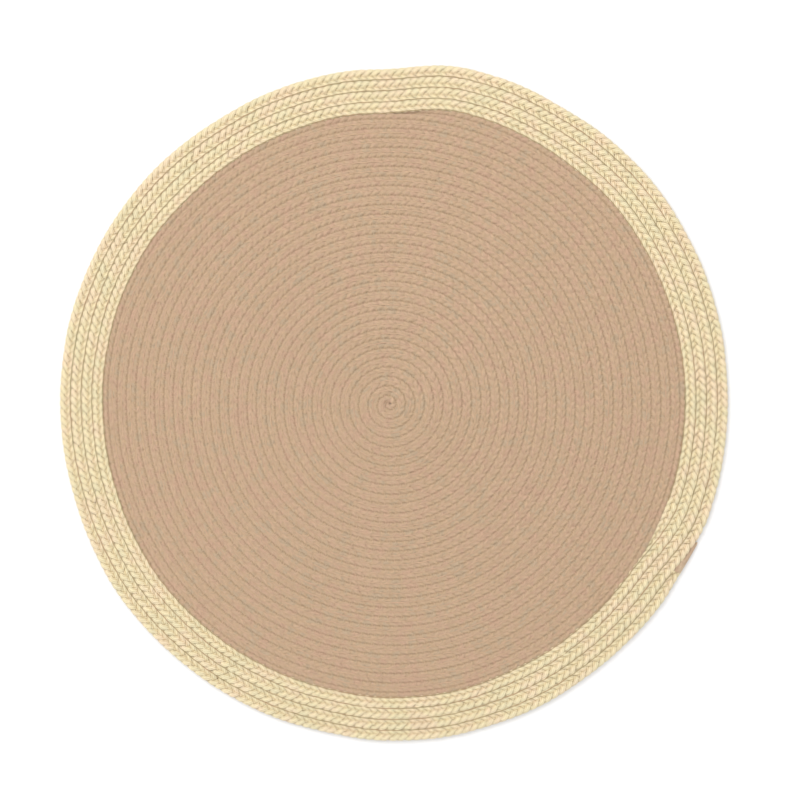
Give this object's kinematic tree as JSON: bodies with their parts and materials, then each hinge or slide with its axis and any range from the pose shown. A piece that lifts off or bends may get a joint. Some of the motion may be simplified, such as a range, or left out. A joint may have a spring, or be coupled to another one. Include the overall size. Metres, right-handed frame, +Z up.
{
  "type": "area rug",
  "caption": "Round rug coiled from stitched three-strand braids, with a pale border of a second braid and a wrapped tapering end.",
  "frame": {"origin": "centre of the rug's outline, in the plane of its underside", "axes": "+Z up, out of the rug's face; +X towards the right and +Y towards the top of the rug seen from above"},
  "size_m": [1.1994, 1.2015, 0.01],
  "materials": {
    "field_jute": "matte natural tan jute",
    "border_jute": "matte bleached cream jute",
    "lacing_thread": "matte tan twine",
    "wrapping_yarn": "matte tan jute yarn"
  },
  "bodies": {
    "root": {"field_strand_a": "field_jute", "field_strand_b": "field_jute", "field_strand_c": "field_jute", "field_lacing_thread": "lacing_thread", "border_strand_a": "border_jute", "border_strand_b": "border_jute", "border_strand_c": "border_jute", "border_lacing_thread": "lacing_thread", "tail_wrapping": "wrapping_yarn"}
  },
  "joints": []
}
